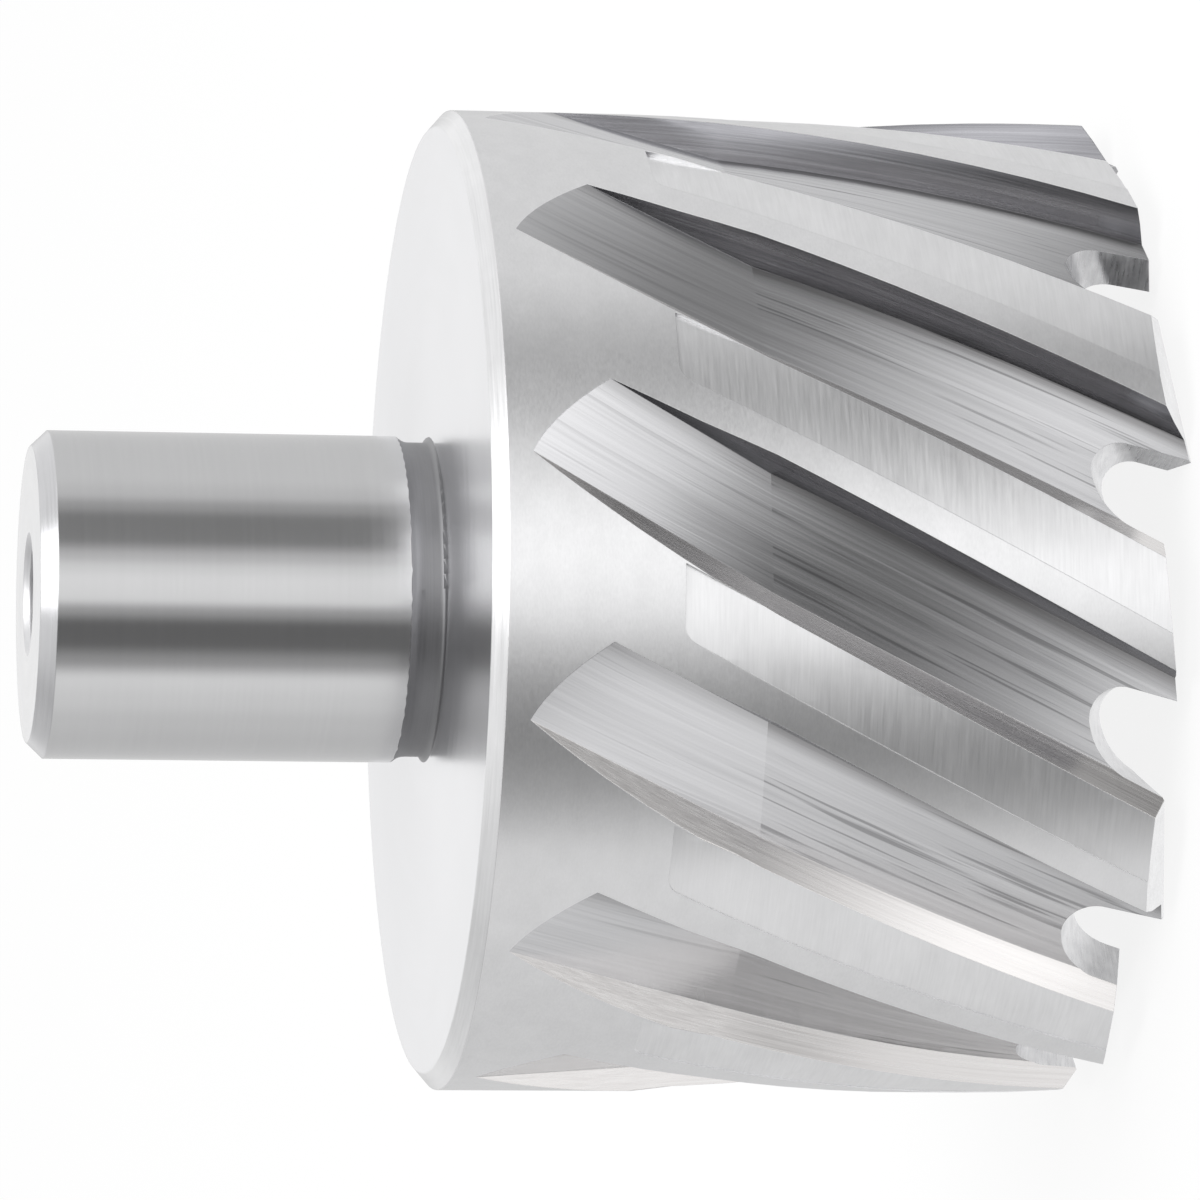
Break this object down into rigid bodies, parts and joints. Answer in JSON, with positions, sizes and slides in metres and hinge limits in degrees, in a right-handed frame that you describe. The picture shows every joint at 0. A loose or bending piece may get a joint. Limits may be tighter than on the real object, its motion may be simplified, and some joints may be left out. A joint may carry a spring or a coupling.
{
  "type": "annular cutter",
  "caption": "Hollow cutter with a cylindrical shank and a fluted cup-shaped head, cutting a ring through plate and leaving a round core.",
  "frame": {"origin": "centre of the bounding box's bottom, on the cutter's axis at the level of the tooth tips", "axes": "+Z along the axis of rotation, from the teeth to the shank; the two set-screw flats face 63 and 153 degrees round from +X, anticlockwise seen from the shank"},
  "size_m": [0.0572, 0.0572, 0.0631],
  "materials": {
    "ground_steel": "ground high-speed steel, polished on the shank"
  },
  "bodies": {
    "root": {"annular_cutter": "ground_steel"}
  },
  "joints": []
}
